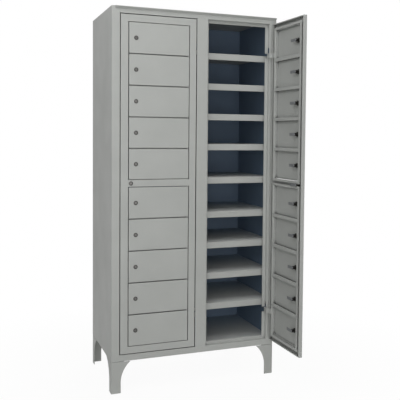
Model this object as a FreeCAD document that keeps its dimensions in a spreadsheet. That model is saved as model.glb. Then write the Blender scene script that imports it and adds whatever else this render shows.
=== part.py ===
import FreeCAD, Part
import Sketcher
import os
import re

# Steel pigeonhole cabinet on four legs: two columns of ten compartments.
# Each column is closed by a master door frame that carries ten small lockable doors.
# Lengths are in millimetres and angles in degrees.
# Cabinet axes: X from the left side, Y from the front face to the back, Z up from the floor.
# Door axes: origin on the master hinge pin, X towards the hinge side, Y from front to back.

SIZES = {
    # Front of the cabinet, from left to right
    "width": 828, "sideFace": 38, "leftOpening": 373, "centreFace": 55,
    # Heights, from the floor up
    "legHeight": 150, "sillFace": 30, "headFace": 31,
    "pitchBelow": 150.6, "pitchAbove": 146, "frameRail": 33,
    # Cabinet sheet work
    "depth": 480, "caseSheet": 1.2, "stopWidth": 15, "postStop": 9, "stopGap": 0.5, "sillReturn": 30,
    "noseHeight": 12, "noseReach": 12, "noseStart": 17, "noseEnd": 2,
    "shelfFront": 42, "shelfLip": 31, "shelfRise": 4, "shelfSpread": 0.014, "shelfSheet": 1.2,
    "shelfRailDepth": 12,
    # Legs
    "legFoot": 45, "legTop": 93, "legSideTop": 120, "legStraight": 50, "legSheet": 2,
    "legSeat": 60, "boltRadius": 4, "boltHeadCorner": 7, "boltHeadHeight": 5,
    "boltLength": 18, "boltFit": 0.3, "boltInset": 36,
    # Master doors
    "doorGap": 3.5, "hingeGap": 4, "doorDepth": 18, "frameFree": 36, "frameHinge": 33,
    "frameSheet": 1.2, "frameLip": 11, "edgeLip": 5, "lockLip": 18, "barHeight": 16, "barClear": 0.3,
    "rightDoorOpen": 91.5,
    # Master hinges
    "pivotInset": 22, "pivotBack": 8, "strapReach": 24, "strapLeg": 25, "strapFoot": 25,
    "strapSheet": 3, "strapHeight": 24, "strapPlay": 0.5, "barrelRadius": 5.5,
    "hingePinRadius": 3, "hingePinSpare": 3, "slotHeight": 52, "slotUnderTop": 166, "slotOverBottom": 134,
    "slotFree": 5, "earHeight": 4, "earWidth": 15, "earDepth": 14,
    # Small doors
    "smallDepth": 10, "smallSheet": 1, "smallGapHinge": 3, "smallGapFree": 3, "smallGapLevel": 4.5,
    "pinInset": 4, "pinBack": 4, "pinRadius": 2, "pinReach": 7, "lugSheet": 1.2, "lugWidth": 12,
    # Cam locks
    "runningFit": 0.08, "lockInset": 33.5, "camClear": 1.6, "masterInset": 49, "masterCamClear": 0.6,
    "bezelRadius": 10, "bezelHeight": 2.5, "barrelLockRadius": 8, "plugRadius": 5.5, "plugProud": 0.6,
    "stemRadius": 3, "camSheet": 2, "camWidth": 14, "camReach": 42.5, "masterCamReach": 50,
    "nutCorner": 12, "nutHeight": 4, "screwRadius": 4.5, "screwHeight": 2.5,
    "keyWidth": 1.6, "keyHeight": 7, "keyDepth": 5,
}
DOORS_PER_FIELD = 5
NUT_SIDE_COUNT = 6

doc = FreeCAD.newDocument("pigeonhole_cabinet")
sheet = doc.addObject("Spreadsheet::Sheet", "Sizes")
for row, (alias, number) in enumerate(SIZES.items(), 1):
    sheet.set(f"A{row}", str(number))
    sheet.setAlias(f"A{row}", alias)
doc.recompute()


def on_sheet(text):
    """The expression with each size's name turned into its cell."""
    return re.sub(r"[A-Za-z]+", lambda word: "Sizes." + word[0] if word[0] in SIZES else word[0], text)


def value(text):
    """The number that an expression gives now."""
    return float(sheet.evalExpression(on_sheet(text)))


def bind(item, **settings):
    """Bind each property of an object to an expression."""
    for name, text in settings.items():
        item.setExpression(name.replace("__", "."), on_sheet(text))


def put(item, x="0", y="0", z="0", turn=None):
    """Place an object, turned about Z where turn is given."""
    if turn:
        item.Placement = FreeCAD.Placement(FreeCAD.Vector(), FreeCAD.Rotation(FreeCAD.Vector(0, 0, 1), 1))
        bind(item, Placement__Rotation__Angle=turn)
    bind(item, Placement__Base__x=x, Placement__Base__y=y, Placement__Base__z=z)
    return item


def box(label, x, y, z, length, width, height):
    item = doc.addObject("Part::Box", label)
    bind(item, Length=length, Width=width, Height=height)
    return put(item, x, y, z)


def rod(label, radius, height, x="0", y="0", z="0"):
    """An upright cylinder."""
    item = doc.addObject("Part::Cylinder", label)
    bind(item, Radius=radius, Height=height)
    return put(item, x, y, z)


def bore_rod(label, radius, height, x="0", y="0", z="0"):
    """A cylinder that runs from front to back."""
    item = doc.addObject("Part::Cylinder", label)
    item.Placement = FreeCAD.Placement(FreeCAD.Vector(), FreeCAD.Rotation(FreeCAD.Vector(1, 0, 0), -90))
    bind(item, Radius=radius, Height=height)
    return put(item, x, y, z)


def fuse(label, *pieces):
    item = doc.addObject("Part::MultiFuse", label)
    item.Shapes = list(pieces)
    item.Refine = True
    return item


def cut(label, base, *tools):
    item = doc.addObject("Part::Cut", label)
    item.Base = base
    item.Tool = tools[0] if len(tools) == 1 else fuse(label + "_tools", *tools)
    item.Refine = True
    return item


def copy_of(label, original, x="0", y="0", z="0"):
    """A copy of a piece that follows the original, moved from where the original stands."""
    item = doc.addObject("Part::Compound", label)
    item.Links = [original]
    return put(item, x, y, z)


def outline_pad(label, outline, run, plane="XY_Plane", reverse=False, arc_edge=None, arc_centre=None):
    """A body: one closed outline of (across, along) expressions, padded by run.

    The edge numbered arc_edge is an arc about arc_centre, and its end is found on that arc.
    """
    body = doc.addObject("PartDesign::Body", label)
    sketch = body.newObject("Sketcher::SketchObject", label + "_outline")
    support = [item for item in body.Origin.OriginFeatures if item.Role == plane]
    sketch.AttachmentSupport = (support[0], [""])
    sketch.MapMode = "FlatFace"

    def fix(edge, end, across, along):
        """Bind the two coordinates of a point of an edge; None leaves one free."""
        for kind, text in (("DistanceX", across), ("DistanceY", along)):
            if text is not None:
                index = sketch.addConstraint(Sketcher.Constraint(kind, -1, 1, edge, end, value(text)))
                sketch.setExpression(f"Constraints[{index}]", on_sheet(text))

    corners = [FreeCAD.Vector(value(across), value(along), 0) for across, along in outline]
    count = len(corners)
    ends = {}
    for number in range(count):
        start, stop = corners[number], corners[(number + 1) % count]
        ends[number] = (1, 2)
        if number == arc_edge:
            centre = FreeCAD.Vector(value(arc_centre[0]), value(arc_centre[1]), 0)
            if (start - centre).cross(stop - centre).z < 0:
                ends[number] = (2, 1)
                start, stop = stop, start
            middle = centre + ((start + stop)*0.5 - centre).normalize()*(start - centre).Length
            sketch.addGeometry(Part.Arc(start, middle, stop))
        else:
            sketch.addGeometry(Part.LineSegment(start, stop))
    for number in range(count):
        after = (number + 1) % count
        sketch.addConstraint(Sketcher.Constraint("Coincident", number, ends[number][1],
                                                 after, ends[after][0]))
    for number, (across, along) in enumerate(outline):
        after_arc = arc_edge is not None and number == (arc_edge + 1) % count
        fix(number, ends[number][0], None if after_arc else across, along)
    if arc_edge is not None:
        fix(arc_edge, 3, *arc_centre)
    pad = body.newObject("PartDesign::Pad", label + "_pad")
    pad.Profile = sketch
    pad.Reversed = reverse
    bind(pad, Length=run)
    return body


def folded(path, thickness):
    """The closed outline of a sheet bent along a path of square corners, with its thickness on the left."""
    corners = [FreeCAD.Vector(value(across), value(along), 0) for across, along in path]
    lefts = []
    for start, end in zip(corners, corners[1:]):
        step = (end - start).normalize()
        lefts.append((-round(step.y), round(step.x)))
    other_side = []
    for number, (across, along) in enumerate(path):
        beside = lefts[max(number - 1, 0):number + 1]
        shift_across = sum(left[0] for left in beside)
        shift_along = sum(left[1] for left in beside)
        other_side.append((f"{across} + {shift_across}*{thickness}",
                           f"{along} + {shift_along}*{thickness}"))
    return path + other_side[::-1]


# Levels, from the floor up
OPENING_BOTTOM = "(legHeight + sillFace)"
DOOR_BOTTOM = f"({OPENING_BOTTOM} + doorGap)"
LOWER_FIELD = f"({DOOR_BOTTOM} + frameRail)"
MIDDLE_RAIL = f"({LOWER_FIELD} + {DOORS_PER_FIELD}*pitchBelow)"
UPPER_FIELD = f"({MIDDLE_RAIL} + frameRail)"
TOP_RAIL = f"({UPPER_FIELD} + {DOORS_PER_FIELD}*pitchAbove)"
DOOR_TOP = f"({TOP_RAIL} + frameRail)"
OPENING_TOP = f"({DOOR_TOP} + doorGap)"
TOP = f"({OPENING_TOP} + headFace)"
STOP_FACE = "(doorDepth + stopGap)"
STOP_BACK = "(doorDepth + stopGap + caseSheet)"

# Undersides of the hinge slots, which are set from the ends of the master doors
SLOTS = {"upper": f"({DOOR_TOP} - slotUnderTop)", "lower": f"({DOOR_BOTTOM} + slotOverBottom)"}

# Widths, from the left side
LEFT_OPENING_END = "(sideFace + leftOpening)"
RIGHT_OPENING_START = "(sideFace + leftOpening + centreFace)"
RIGHT_OPENING_END = "(width - sideFace)"
RIGHT_OPENING = f"({RIGHT_OPENING_END} - {RIGHT_OPENING_START})"
MIDDLE = "(sideFace + leftOpening + centreFace/2)"

# The origin is below the middle of the space that the cabinet takes with its right door open.
RIGHT_DOOR_REACH = (f"((pivotInset + {RIGHT_OPENING} - doorGap - hingeGap)*sin(rightDoorOpen)"
                    " - (doorDepth - pivotBack)*cos(rightDoorOpen) - pivotBack)")
ORIGIN_X = "(-width/2)"
ORIGIN_Y = f"(({RIGHT_DOOR_REACH} - depth)/2)"

SEPARATORS = [f"({LOWER_FIELD} + {step}*pitchBelow)" for step in range(1, DOORS_PER_FIELD)]
SEPARATORS.append(f"({MIDDLE_RAIL} + frameRail/2)")
SEPARATORS += [f"({UPPER_FIELD} + {step}*pitchAbove)" for step in range(1, DOORS_PER_FIELD)]

# Deck tops: each shelf stands behind a joint of the small doors, spread a little from the middle one.
SHELF_TOPS = [f"({level} + shelfLip/2 + shelfRise + shelfSpread*({level} - {MIDDLE_RAIL} - frameRail/2))"
              for level in SEPARATORS]

# Legs, each with the ways that it runs in from its outer corner
LEG_CORNERS = {"front_left": ("0", "0", 1, 1), "front_right": ("width", "0", -1, 1),
               "back_left": ("0", "depth", 1, -1), "back_right": ("width", "depth", -1, -1)}

DOORS = {
    "left": {"opening": "leftOpening", "end": LEFT_OPENING_END, "turn": None},
    "right": {"opening": RIGHT_OPENING, "end": RIGHT_OPENING_END, "turn": "rightDoorOpen"},
}
for door in DOORS.values():
    door["pivot"] = f"({door['end']} - hingeGap + pivotInset)"
    door["width"] = f"({door['opening']} - doorGap - hingeGap)"
    door["field"] = f"({door['width']} - frameFree - frameHinge)"
    door["leaf"] = f"({door['field']} - smallGapHinge - smallGapFree)"

nodes = []


def node(label, pieces, frame="case"):
    """Gather the solids of one sub-part and place them in the cabinet or on a master door."""
    item = doc.addObject("Part::Compound", label)
    item.Links = pieces
    if frame == "case":
        put(item, ORIGIN_X, ORIGIN_Y)
    else:
        door = DOORS[frame]
        put(item, f"{door['pivot']} + {ORIGIN_X}", f"pivotBack + {ORIGIN_Y}", "0", door["turn"])
    nodes.append(item)
    return item


def hinge_notches(label, pivot):
    """For each strap, a wall slot in which an open door lifts off, and a stop notch as high as the strap."""
    wall = f"({pivot} - pivotInset + hingeGap)"
    tools = []
    for name, level in SLOTS.items():
        tools.append(box(f"{label}_{name}_slot", f"{wall} - caseSheet", "caseSheet", level,
                         "3*caseSheet", f"{STOP_FACE} - caseSheet", "slotHeight"))
        tools.append(box(f"{label}_{name}_notch", f"{wall} - stopWidth - slotFree", f"{STOP_FACE} - stopGap",
                         level, "stopWidth + slotFree + 2*caseSheet", "stopGap + 2*caseSheet",
                         "strapHeight + 2*strapPlay"))
    return tools


def stop_ends(label, start, length):
    """The two ends of an upright stop, cut away where the head and sill stops run across."""
    top_stop = f"({OPENING_TOP} - stopWidth)"
    bottom_stop = f"({OPENING_BOTTOM} + stopWidth)"
    across_stop = "2*caseSheet"
    return [box(f"{label}_top_end", start, f"{STOP_FACE} - stopGap", top_stop,
                length, across_stop, f"{TOP} - {top_stop}"),
            box(f"{label}_bottom_end", start, f"{STOP_FACE} - stopGap", "0",
                length, across_stop, bottom_stop)]


# Side panels: one sheet each, folded into the front face, the rebate wall and the stop.
def side_panels():
    left_path = [("0", "depth"), ("0", "0"), ("sideFace", "0"), ("sideFace", STOP_FACE),
                 ("sideFace + stopWidth", STOP_FACE)]
    right_path = [(f"{RIGHT_OPENING_END} - stopWidth", STOP_FACE), (RIGHT_OPENING_END, STOP_FACE),
                  (RIGHT_OPENING_END, "0"), ("width", "0"), ("width", "depth")]
    panel_height = f"{TOP} - legHeight"
    for side, path in (("left", left_path), ("right", right_path)):
        body = outline_pad(f"side_{side}_fold", folded(path, "caseSheet"), panel_height)
        put(body, "0", "0", "legHeight")
        stop_start = "sideFace" if side == "left" else f"{RIGHT_OPENING_END} - stopWidth"
        wall_start = "sideFace - caseSheet" if side == "left" else RIGHT_OPENING_END
        tools = stop_ends(f"side_{side}", stop_start, "stopWidth")
        tools.append(box(f"side_{side}_wall_end", wall_start, "caseSheet", f"{TOP} - caseSheet",
                         "caseSheet", STOP_BACK, "caseSheet"))
        if side == "right":
            tools += hinge_notches("side_right", DOORS["right"]["pivot"])
        node(f"side_panel_{side}", [cut(f"side_{side}_cut", body, *tools)])


# Centre post: a hat section between the two openings that holds the left door's hinges.
def centre_post():
    path = [(f"{LEFT_OPENING_END} - stopWidth", STOP_FACE), (LEFT_OPENING_END, STOP_FACE),
            (LEFT_OPENING_END, "0"), (RIGHT_OPENING_START, "0"), (RIGHT_OPENING_START, STOP_FACE),
            (f"{RIGHT_OPENING_START} + postStop", STOP_FACE)]
    body = outline_pad("centre_fold", folded(path, "caseSheet"), f"{OPENING_TOP} - {OPENING_BOTTOM}")
    put(body, "0", "0", OPENING_BOTTOM)
    tools = stop_ends("centre_left", f"{LEFT_OPENING_END} - stopWidth", "stopWidth + 2*caseSheet")
    tools += stop_ends("centre_right", f"{RIGHT_OPENING_START} - 2*caseSheet", "postStop + 2*caseSheet")
    tools += hinge_notches("centre", DOORS["left"]["pivot"])
    node("centre_post", [cut("centre_cut", body, *tools)])


# Head and sill: folded rails that close the front frame above and below the doors.
def front_rails():
    head_path = [("0", f"{TOP} - caseSheet"), ("0", OPENING_TOP), (STOP_FACE, OPENING_TOP),
                 (STOP_FACE, f"{OPENING_TOP} - stopWidth")]
    sill_path = [(STOP_FACE, f"{OPENING_BOTTOM} + stopWidth"), (STOP_FACE, OPENING_BOTTOM),
                 ("0", OPENING_BOTTOM), ("0", "legHeight"), ("sillReturn", "legHeight")]
    rails = []
    for name, path in (("head_rail", head_path), ("sill_rail", sill_path)):
        body = outline_pad(name, folded(path, "caseSheet"), "width - 2*sideFace", "YZ_Plane")
        rails.append(put(body, "sideFace"))
    node("front_rails", rails)


# Case panels: back, base, compartment floor and top with its bevelled nose.
def case_panels():
    inner_width = "width - 2*caseSheet"
    node("back_panel", [box("back_sheet", "caseSheet", "depth - caseSheet", "legHeight",
                            inner_width, "caseSheet", f"{TOP} - legHeight")])
    base = box("base_sheet", "caseSheet", "sillReturn", "legHeight", inner_width,
               "depth - caseSheet - sillReturn", "caseSheet")
    holes = [rod(f"base_hole_{name}", "boltRadius + boltFit", "3*caseSheet",
                 f"{x} + {across}*boltInset", f"{y} + {along}*boltInset", "legHeight - caseSheet")
             for name, (x, y, across, along) in LEG_CORNERS.items()]
    node("base_panel", [cut("base_bored", base, *holes)])
    node("floor_panel", [box("floor_sheet", "caseSheet", STOP_BACK, f"{OPENING_BOTTOM} - caseSheet",
                             inner_width, f"depth - caseSheet - {STOP_BACK}", "caseSheet")])
    deck = box("top_deck", "caseSheet", "caseSheet", f"{TOP} - caseSheet",
               inner_width, "depth - 2*caseSheet", "caseSheet")
    nose_outline = [("0", f"{TOP} - noseHeight"), ("0", TOP), ("-noseReach", TOP),
                    ("-noseReach", f"{TOP} - caseSheet")]
    nose = outline_pad("top_nose", nose_outline, "width - noseStart - noseEnd", "YZ_Plane")
    put(nose, "noseStart")
    front_strip = box("top_front_strip", "sideFace", "0", f"{TOP} - caseSheet", "width - 2*sideFace",
                      "caseSheet", "caseSheet")
    node("top_panel", [fuse("top_sheet", deck, front_strip, nose)])


# Partition: one upright sheet with a front flange welded to the centre post's right stop.
def partition():
    flange_back = f"{STOP_BACK} + caseSheet"
    right_face = f"{MIDDLE} + caseSheet/2"
    path = [(f"{RIGHT_OPENING_START} + postStop - caseSheet", flange_back), (right_face, flange_back),
            (right_face, "depth - caseSheet")]
    body = outline_pad("partition_fold", folded(path, "caseSheet"), f"{TOP} - caseSheet - {OPENING_BOTTOM}")
    node("partition", [put(body, "0", "0", OPENING_BOTTOM)])


# Shelves: a flat deck on a folded front rail, nine in each column.
def shelves():
    spans = {"left": ("caseSheet", f"({MIDDLE} - caseSheet/2)"),
             "right": (f"({MIDDLE} + caseSheet/2)", "(width - caseSheet)")}
    rail_back = "(shelfFront + shelfRailDepth)"
    path = [(rail_back, "-shelfSheet"), ("shelfFront", "-shelfSheet"), ("shelfFront", "-shelfLip"),
            (rail_back, "-shelfLip")]
    for side, (start, end) in spans.items():
        span = f"({end} - {start})"
        deck = box(f"shelf_{side}_deck", start, "shelfFront", "-shelfSheet", span,
                   "depth - caseSheet - shelfFront", "shelfSheet")
        rail = put(outline_pad(f"shelf_{side}_rail", folded(path, "shelfSheet"), span, "YZ_Plane"), start)
        copies = []
        for number, height in enumerate(SHELF_TOPS, 1):
            for part_name, piece in (("deck", deck), ("rail", rail)):
                copies.append(copy_of(f"shelf_{side}_{part_name}_{number}", piece, "0", "0", height))
        node(f"shelves_{side}", copies)


# Legs: pressed angle sections that taper in a curve to the foot, with a bored seat plate under the base.
def leg_plate(label, top_width, plane, sign, reverse):
    """One plate of a leg: straight at the foot, then an arc out to its top width."""
    rise = "(legHeight - legStraight)"
    spread = f"({top_width} - legFoot)"
    radius = f"(({rise}*{rise} + {spread}*{spread})/(2*{spread}))"
    outline = [("0", "0"), (f"{sign}*legFoot", "0"), (f"{sign}*legFoot", "legStraight"),
               (f"{sign}*{top_width}", "legHeight"), ("0", "legHeight")]
    centre = (f"{sign}*(legFoot + {radius})", "legStraight")
    return outline_pad(label, outline, "legSheet", plane, reverse, 2, centre)


def legs():
    copies = []
    bolts = []
    for name, (x, y, across, along) in LEG_CORNERS.items():
        label = f"leg_{name}"
        bolt_x = f"{across}*boltInset"
        bolt_y = f"{along}*boltInset"
        under_seat = "legHeight - legSheet"
        front = leg_plate(f"{label}_front", "legTop", "XZ_Plane", across, along > 0)
        side = leg_plate(f"{label}_side", "legSideTop", "YZ_Plane", along, across < 0)
        seat = box(f"{label}_seat", f"({across} - 1)/2*legSeat", f"({along} - 1)/2*legSeat", under_seat,
                   "legSeat", "legSeat", "legSheet")
        hole = rod(f"{label}_hole", "boltRadius + boltFit", "3*legSheet",
                   bolt_x, bolt_y, f"{under_seat} - legSheet")
        leg = cut(label, fuse(f"{label}_plates", front, side, seat), hole)
        copies.append(copy_of(f"{label}_placed", leg, x, y))

        head = doc.addObject("Part::Prism", f"bolt_{name}_head")
        nut = doc.addObject("Part::Prism", f"bolt_{name}_nut")
        for item in (head, nut):
            item.Polygon = NUT_SIDE_COUNT
            bind(item, Circumradius="boltHeadCorner", Height="boltHeadHeight")
        bolt_place = (f"{x} + {bolt_x}", f"{y} + {bolt_y}")
        head_under = f"{under_seat} - boltHeadHeight"
        put(head, *bolt_place, head_under)
        put(nut, *bolt_place, "legHeight + caseSheet")
        shank = rod(f"bolt_{name}_shank", "boltRadius", "boltLength", *bolt_place, head_under)
        thread = rod(f"bolt_{name}_thread", "boltRadius + runningFit", "3*boltHeadHeight",
                     *bolt_place, "legHeight")
        bolts += [fuse(f"bolt_{name}", head, shank), cut(f"bolt_{name}_bored_nut", nut, thread)]
    node("legs", copies)
    node("leg_bolts", bolts)


# Master hinge pins: each stands in an ear welded behind the front face.
def hinge_pins():
    pieces = []
    for side, door in DOORS.items():
        for name, level in SLOTS.items():
            label = f"hinge_{side}_{name}"
            pin_height = "earHeight + strapPlay + strapHeight + hingePinSpare"
            pin = rod(f"{label}_pin", "hingePinRadius", pin_height,
                      door["pivot"], "pivotBack", f"{level} - earHeight")
            ear = box(f"{label}_ear", f"{door['pivot']} - earWidth/2", "caseSheet", f"{level} - earHeight",
                      "earWidth", "earDepth", "earHeight")
            pieces.append(fuse(label, pin, ear))
    node("hinge_pins", pieces)


def build_frame():
    side_panels()
    centre_post()
    front_rails()
    case_panels()
    partition()
    shelves()
    legs()
    hinge_pins()


# Cam lock pieces, drawn once about the lock's own axis, which runs from front to back.
LOCK_HOLE = "(barrelLockRadius + runningFit)"


def lock_body(label, length):
    bezel = bore_rod(f"{label}_bezel", "bezelRadius", "bezelHeight", "0", "-bezelHeight")
    barrel = bore_rod(f"{label}_barrel", "barrelLockRadius", length)
    bore = bore_rod(f"{label}_bore", "plugRadius + runningFit", f"{length} + 4*bezelHeight",
                    "0", "-2*bezelHeight")
    return cut(label, fuse(f"{label}_outside", bezel, barrel), bore)


def lock_nut(label, seat):
    prism = doc.addObject("Part::Prism", f"{label}_prism")
    prism.Polygon = NUT_SIDE_COUNT
    flats_beside = FreeCAD.Rotation(FreeCAD.Vector(0, 0, 1), 180/NUT_SIDE_COUNT)
    to_the_back = FreeCAD.Rotation(FreeCAD.Vector(1, 0, 0), -90)
    prism.Placement = FreeCAD.Placement(FreeCAD.Vector(), to_the_back*flats_beside)
    bind(prism, Circumradius="nutCorner", Height="nutHeight")
    put(prism, "0", seat)
    thread = bore_rod(f"{label}_thread", LOCK_HOLE, "3*nutHeight", "0", f"{seat} - nutHeight")
    return cut(label, prism, thread)


def lock_plug(label, length):
    plug = bore_rod(f"{label}_plug", "plugRadius", f"{length} + bezelHeight + plugProud", "0",
                    "-bezelHeight - plugProud")
    stem = bore_rod(f"{label}_stem", "stemRadius", "camSheet", "0", length)
    slot = box(f"{label}_key_slot", "-keyWidth/2", "-bezelHeight - plugProud - keyDepth",
               "-keyHeight/2", "keyWidth", "2*keyDepth", "keyHeight")
    return cut(label, fuse(f"{label}_turned", plug, stem), slot)


def lock_cam(label, length, reach):
    """A cam that points to the hinge side, which is its unlocked place."""
    arm = box(f"{label}_arm", "0", length, "-camWidth/2", reach, "camSheet", "camWidth")
    eye = bore_rod(f"{label}_eye", "camWidth/2", "camSheet", "0", length)
    hole = bore_rod(f"{label}_hole", "stemRadius + runningFit", "3*camSheet", "0", f"{length} - camSheet")
    return cut(label, fuse(f"{label}_plate", arm, eye), hole)


def lock_screw(label, length):
    return bore_rod(label, "screwRadius", "screwHeight", "0", f"{length} + camSheet")


# Each kind of lock: the distance from its panel's face to its cam, the cam's reach and the panel's sheet
LOCKS = {
    "small": ("(doorDepth + camClear)", "camReach", "smallSheet"),
    "master": (f"({STOP_BACK} + caseSheet + masterCamClear)", "masterCamReach", "frameSheet"),
}
lock_parts = {}
for kind, (length, reach, panel) in LOCKS.items():
    lock_parts[kind] = {
        "fixed": [lock_body(f"{kind}_lock_body", length), lock_nut(f"{kind}_lock_nut", panel)],
        "turning": [lock_plug(f"{kind}_lock_plug", length), lock_cam(f"{kind}_lock_cam", length, reach),
                    lock_screw(f"{kind}_lock_screw", length)],
    }


def lock_at(label, kind, group, x, y, z):
    return [copy_of(f"{label}_{number}", piece, x, y, z)
            for number, piece in enumerate(lock_parts[kind][group], 1)]


# Master door frame: two channel stiles, three channel rails and the crossbars behind the small doors.
def door_frame(side):
    door = DOORS[side]
    free_edge = f"(-pivotInset - {door['width']})"
    hinge_edge = "(-pivotInset)"
    front = "(-pivotBack)"
    back = "(doorDepth - pivotBack)"

    def stile(label, start, start_lip, end, end_lip):
        path = [(f"{start} + {start_lip}", back), (start, back), (start, front), (end, front), (end, back),
                (f"{end} - {end_lip}", back)]
        body = outline_pad(label, folded(path, "frameSheet"), f"{DOOR_TOP} - {DOOR_BOTTOM}")
        return put(body, "0", "0", DOOR_BOTTOM)

    field_start = f"({free_edge} + frameFree)"
    field_end = f"({hinge_edge} - frameHinge)"
    pieces = [stile(f"frame_{side}_free_stile", free_edge, "edgeLip", field_start, "lockLip"),
              stile(f"frame_{side}_hinge_stile", field_end, "frameLip", hinge_edge, "frameLip")]
    rails = {"bottom": (DOOR_BOTTOM, "edgeLip", "frameLip"),
             "middle": (MIDDLE_RAIL, "frameLip", "frameLip"),
             "top": (TOP_RAIL, "frameLip", "edgeLip")}
    for name, (level, lower_lip, upper_lip) in rails.items():
        path = [(back, f"frameRail - {upper_lip}"), (back, "frameRail"), (front, "frameRail"), (front, "0"),
                (back, "0"), (back, lower_lip)]
        outline = folded(path, "frameSheet")
        rail = outline_pad(f"frame_{side}_{name}_rail", outline, door["field"], "YZ_Plane")
        put(rail, field_start, "0", level)
        if name == "middle":
            drill = bore_rod(f"frame_{side}_lock_hole", LOCK_HOLE, "doorDepth + 2*frameSheet",
                             f"{free_edge} + masterInset", f"{front} - frameSheet",
                             f"{level} + frameRail/2")
            rail = cut(f"frame_{side}_middle_rail_bored", rail, drill)
        pieces.append(rail)

    # The bars stand clear of the arc that the small doors' back edge makes about its pins.
    bar_front = f"({front} + pinBack + sqrt(pinInset^2 + (smallDepth - pinBack)^2) + barClear)"
    bar_path = [(bar_front, "-barHeight/2"), (back, "-barHeight/2"), (back, "barHeight/2"),
                (bar_front, "barHeight/2")]
    bar = outline_pad(f"frame_{side}_bar", folded(bar_path, "frameSheet"), door["field"], "YZ_Plane")
    put(bar, field_start)
    pin_x = f"({field_end} - smallGapHinge - pinInset)"
    pin_y = f"({front} + pinBack)"
    lug = box(f"frame_{side}_lug_sheet", f"{pin_x} - lugWidth/2", f"{front} + frameSheet", "-lugSheet/2",
              "lugWidth/2 + pinInset + smallGapHinge", f"{bar_front} - {front} - frameSheet", "lugSheet")
    both_ways = rod(f"frame_{side}_lug_pin", "pinRadius", "2*pinReach", pin_x, pin_y, "-pinReach")
    lug_pin = fuse(f"frame_{side}_lug", lug, both_ways)
    rail_pin = rod(f"frame_{side}_rail_pin", "pinRadius", "pinReach", pin_x, pin_y)
    levels = [level for level in SEPARATORS if level != SEPARATORS[DOORS_PER_FIELD - 1]]
    for number, level in enumerate(levels, 1):
        for name, piece in (("bar", bar), ("lug", lug_pin)):
            pieces.append(copy_of(f"frame_{side}_{name}_{number}", piece, "0", "0", level))
    pin_levels = (LOWER_FIELD, f"{MIDDLE_RAIL} - pinReach", UPPER_FIELD, f"{TOP_RAIL} - pinReach")
    for number, level in enumerate(pin_levels, 1):
        pieces.append(copy_of(f"frame_{side}_rail_pin_{number}", rail_pin, "0", "0", level))
    lock_place = (f"{free_edge} + masterInset", front, f"{MIDDLE_RAIL} + frameRail/2")
    pieces += lock_at(f"frame_{side}_lock", "master", "fixed", *lock_place)
    node(f"door_frame_{side}", pieces, side)
    turning = lock_at(f"master_lock_{side}_piece", "master", "turning", *lock_place)
    node(f"master_lock_{side}", turning, side)


# Hinge straps: a cranked steel strap from the pin, behind the wall and round to the door's inner face.
def hinge_straps(side):
    reach = "(strapReach + strapSheet/2)"
    foot_face = "(doorDepth - pivotBack + strapSheet)"
    path = [("strapSheet/2", "0"), ("strapSheet/2", reach), ("-strapLeg - strapSheet/2", reach),
            ("-strapLeg - strapSheet/2", foot_face), ("-strapLeg - strapSheet/2 - strapFoot", foot_face)]
    strap = outline_pad(f"strap_{side}_fold", folded(path, "strapSheet"), "strapHeight")
    barrel = rod(f"strap_{side}_barrel", "barrelRadius", "strapHeight")
    bore = rod(f"strap_{side}_bore", "hingePinRadius + runningFit", "2*strapHeight",
               "0", "0", "-strapHeight/2")
    shape = cut(f"strap_{side}", fuse(f"strap_{side}_solid", strap, barrel), bore)
    pieces = []
    for name, level in SLOTS.items():
        pieces.append(copy_of(f"strap_{side}_{name}", shape, "0", "0", f"{level} + strapPlay"))
    node(f"hinge_straps_{side}", pieces, side)


# Small doors: a shallow pan with bored top and bottom returns, drawn about its own hinge line.
def small_pan(label, side, pitch):
    leaf = DOORS[side]["leaf"]
    height = f"({pitch} - smallGapLevel)"
    left = f"(pinInset - {leaf})"
    outside = box(f"{label}_outside", left, "-pinBack", f"-{height}/2", leaf, "smallDepth", height)
    inside = box(f"{label}_inside", f"{left} + smallSheet", "smallSheet - pinBack",
                 f"-{height}/2 + smallSheet", f"{leaf} - 2*smallSheet", "smallDepth",
                 f"{height} - 2*smallSheet")
    pin_bore = rod(f"{label}_pin_bore", "pinRadius + runningFit", f"{height} + 2*smallSheet",
                   "0", "0", f"-{height}/2 - smallSheet")
    lock_hole = bore_rod(f"{label}_lock_hole", LOCK_HOLE, "3*smallSheet",
                         f"{left} + lockInset", "-pinBack - smallSheet")
    return cut(label, outside, inside, pin_bore, lock_hole)


def small_doors(side):
    fields = {"lower": (LOWER_FIELD, "pitchBelow"), "upper": (UPPER_FIELD, "pitchAbove")}
    hinge_x = "(-pivotInset - frameHinge - smallGapHinge - pinInset)"
    hinge_y = "(pinBack - pivotBack)"
    number = 0
    for name, (start, pitch) in fields.items():
        pan = small_pan(f"pan_{side}_{name}", side, pitch)
        for step in range(DOORS_PER_FIELD):
            number += 1
            level = f"{start} + {pitch}*{step + 0.5}"
            label = f"small_door_{side}_{number:02d}"
            lock_place = (f"{hinge_x} + pinInset - {DOORS[side]['leaf']} + lockInset", "-pivotBack", level)
            pieces = [copy_of(f"{label}_pan", pan, hinge_x, hinge_y, level)]
            pieces += lock_at(f"{label}_lock", "small", "fixed", *lock_place)
            node(label, pieces, side)
            node(f"small_lock_{side}_{number:02d}",
                 lock_at(f"small_lock_{side}_{number:02d}_piece", "small", "turning", *lock_place), side)


def export_all():
    """Check every object, then write one STEP file for each sub-part."""
    doc.recompute()
    failed = [item.Name for item in doc.Objects if {"Invalid", "Error"} & set(item.State)]
    failed += [item.Label for item in nodes if item.Shape.isNull() or not item.Shape.isValid()]
    if failed:
        raise RuntimeError("not built: " + ", ".join(failed))
    os.makedirs("parts", exist_ok=True)
    for item in nodes:
        item.Shape.exportStep(f"parts/{item.Label}.step")
        print(item.Label, len(item.Shape.Solids), "solids", round(item.Shape.Volume))


build_frame()
for door_side in DOORS:
    door_frame(door_side)
    hinge_straps(door_side)
    small_doors(door_side)
export_all()
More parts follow.
